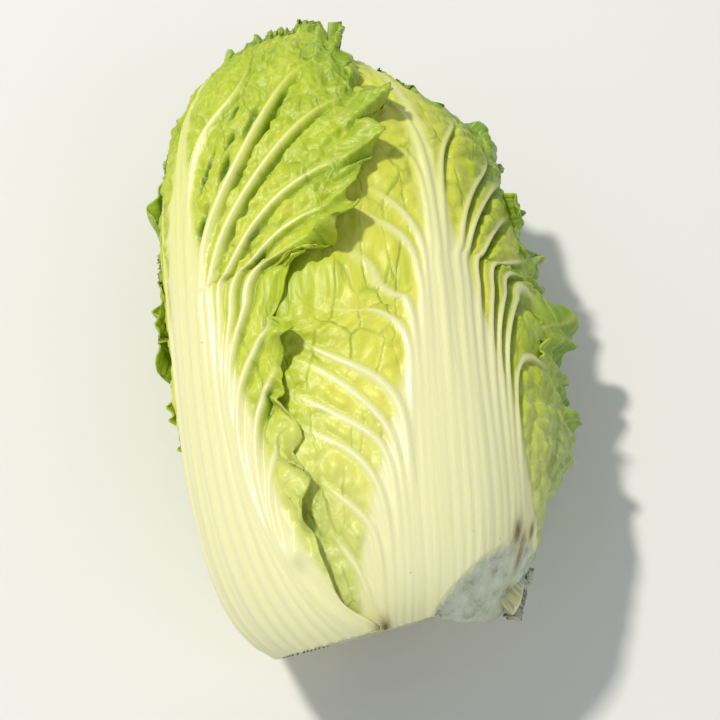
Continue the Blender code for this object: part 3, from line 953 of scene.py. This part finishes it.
around_heart = np.linspace(0.0, 2.0 * np.pi, HEART_COLUMNS, endpoint=False)
turn_of_heart, up_heart = np.meshgrid(around_heart, np.linspace(0.0, 1.0, HEART_ROWS))
polar = np.pi * (0.02 + 0.96 * up_heart)
spiral = (turn_of_heart / (2.0 * np.pi) * 5.0 + up_heart * 1.6) % 1.0
overlap = np.where(spiral < 0.9, spiral / 0.9, (1.0 - spiral) / 0.1)
heart_ribs = np.maximum(0.0, np.cos(15.0 * turn_of_heart + 5.0 * up_heart)) * (1.0 - up_heart)
heart_pucker = np.sin(46.0 * up_heart + 3.0 * np.sin(6.0 * turn_of_heart)) * up_heart
shrink = 0.955 + 0.020 * overlap + 0.010 * heart_ribs + 0.006 * heart_pucker
heart_middle = 0.5 * (heart_low + heart_high)
heart_half = 0.5 * (heart_high - heart_low)
round_out = np.sin(polar) ** BOXINESS * shrink
heart_points = np.stack([
    heart_middle.x + heart_half.x * round_out * np.sin(turn_of_heart),
    heart_middle.y - heart_half.y * np.sign(np.cos(polar)) * np.abs(np.cos(polar)) ** BOXINESS * 0.985,
    heart_middle.z + heart_half.z * round_out * np.cos(turn_of_heart),
], axis=-1)
heart = ringed_object("heart_looks", heart_points, HEART_COLUMNS, HEART_ROWS, heart_finish)
heart_mesh = heart.data
nowhere = 0.0 * up_heart
heart_attributes = {
    "rib": 0.8 * heart_ribs, "green": 0.1 + 0.7 * up_heart**2, "age": up_heart, "blade": up_heart,
    "bruise": nowhere, "cut": nowhere, "crease": nowhere,
}
for key, values in heart_attributes.items():
    layer = heart_mesh.attributes.new(key, "FLOAT", "POINT")
    layer.data.foreach_set("value", np.asarray(values, np.float32).reshape(-1))
heart_uv = heart_mesh.uv_layers.new(name="flat")
heart_flat = np.stack([turn_of_heart * 0.035, up_heart * 0.22], axis=-1).reshape(-1, 2)
corner_of = np.zeros(len(heart_mesh.loops), dtype=np.int32)
heart_mesh.loops.foreach_get("vertex_index", corner_of)
heart_uv.data.foreach_set("uv", heart_flat[corner_of].astype(np.float32).reshape(-1))
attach(heart, "root")
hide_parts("heart")


# ---- Cut stem -----------------------------------------------------------------------------------------
# The short core that all leaves grow from, sliced off on a slant. Its cut face has dried a little: woody,
# grey-green, with brown blotches.

stem_finish = Finish("cut stem")
here = stem_finish.node("TexCoord", out=3)
grain = stem_finish.node("TexNoise", Vector=here, Scale=420.0, Detail=6.0, Roughness=0.65)
blotch = stem_finish.node("TexNoise", Vector=here, Scale=70.0, Detail=4.0)
stem_colour = stem_finish.node(
    "ValToRGB",
    {"stops": [(0.28, (0.26, 0.19, 0.07)), (0.45, (0.50, 0.52, 0.33)), (0.70, (0.70, 0.70, 0.50))]},
    Fac=(grain * 0.5 + blotch * 0.5),
)
stem_bump = stem_finish.node("Bump", Strength=0.7, Distance=0.0012, Height=grain + blotch)
stem_material = stem_finish.set(Base_Color=stem_colour, Roughness=0.62, Normal=stem_bump)
STEM_COLUMNS = 96
FACE_RINGS = 22
SIDE_RINGS = 23
STEM_RADIUS = 0.0268
STEM_FLARE = 0.0085
STEM_REACH = 0.0445
stem_rows = FACE_RINGS + SIDE_RINGS + 1
around_stem = np.linspace(0.0, 2.0 * np.pi, STEM_COLUMNS, endpoint=False)
ring_turn, ring_step = np.meshgrid(around_stem, np.arange(stem_rows))
on_face = ring_step <= FACE_RINGS
face_share = np.clip(ring_step / FACE_RINGS, 0.0, 1.0)
side_share = np.clip((ring_step - FACE_RINGS) / SIDE_RINGS, 0.0, 1.0)
flared = STEM_RADIUS + STEM_FLARE * (1.0 - smooth(side_share / 0.30))
stem_radius = np.where(on_face, 0.02 + 0.98 * face_share, 1.0 - 0.585 * side_share**1.2) * flared
uneven = 1.0 + 0.018 * np.sin(5.0 * ring_turn + 1.0) + 0.012 * np.sin(11.0 * ring_turn + 4.0)
stem_x = stem_radius * uneven * np.sin(ring_turn)
stem_z = AXIS_HEIGHT + 0.86 * stem_radius * uneven * np.cos(ring_turn)
dished = -0.0012 * np.sin(face_share * np.pi) + 0.0006 * np.cos(face_share * 30.0) * (1.0 - side_share)
stem_y = CUT_Y + dished * on_face + STEM_REACH * side_share
stem_points = np.stack([stem_x, stem_y + cut_slant(stem_x, stem_y, stem_z), stem_z], axis=-1)
cut_stem = ringed_object("cut_stem_looks", stem_points, STEM_COLUMNS, stem_rows, stem_material)
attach(cut_stem, "root")
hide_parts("cut_stem")


# ---- Stage --------------------------------------------------------------------------------------------
# A pale floor and studio light: a sun-like lamp high on the left behind the crown, and soft fill all round.

floor_mesh = bpy.data.meshes.new("floor")
floor_mesh.from_pydata([(-3, -3, 0), (3, -3, 0), (3, 3, 0), (-3, 3, 0)], [], [(0, 1, 2, 3)])
floor = bpy.data.objects.new("floor", floor_mesh)
bpy.context.scene.collection.objects.link(floor)
floor_finish = Finish("floor")
floor_mesh.materials.append(floor_finish.set(Base_Color=(0.80, 0.80, 0.79, 1.0), Roughness=0.8))


def lamp(name, place, size, power, colour):
    """A square area lamp that faces the head."""
    light = bpy.data.lights.new(name, "AREA")
    light.size = size
    light.energy = power
    light.color = colour
    holder = bpy.data.objects.new(name, light)
    holder.location = place
    holder.rotation_euler = (Vector((0.0, 0.0, 0.06)) - Vector(place)).to_track_quat("-Z", "Y").to_euler()
    bpy.context.scene.collection.objects.link(holder)
    return holder


key_lamp = lamp("key", (-1.20, 0.95, 2.70), 0.22, 70.0, (1.0, 0.965, 0.86))
fill_lamp = lamp("fill", (1.2, -1.3, 1.3), 1.6, 5.0, (0.96, 0.98, 1.0))

world = bpy.data.worlds.new("studio")
world.use_nodes = True
sky = world.node_tree.nodes["Background"]
sky.inputs["Color"].default_value = (0.93, 0.96, 1.0, 1.0)
sky.inputs["Strength"].default_value = 0.42
bpy.context.scene.world = world
bpy.context.scene.view_settings.view_transform = "Standard"

camera = bpy.data.objects.new("camera", bpy.data.cameras.new("camera"))
camera.data.lens = 87.6
camera.data.sensor_width = 36.0
azimuth, elevation, distance = math.radians(-8.0), math.radians(66.0), 0.85
back = Vector((
    math.sin(azimuth) * math.cos(elevation),
    -math.cos(azimuth) * math.cos(elevation),
    math.sin(elevation),
))
camera.location = Vector((0.0041, -0.0128, 0.0646)) + distance * back
camera.rotation_euler = (-back).to_track_quat("-Z", "Y").to_euler()
bpy.context.scene.collection.objects.link(camera)
bpy.context.scene.camera = camera
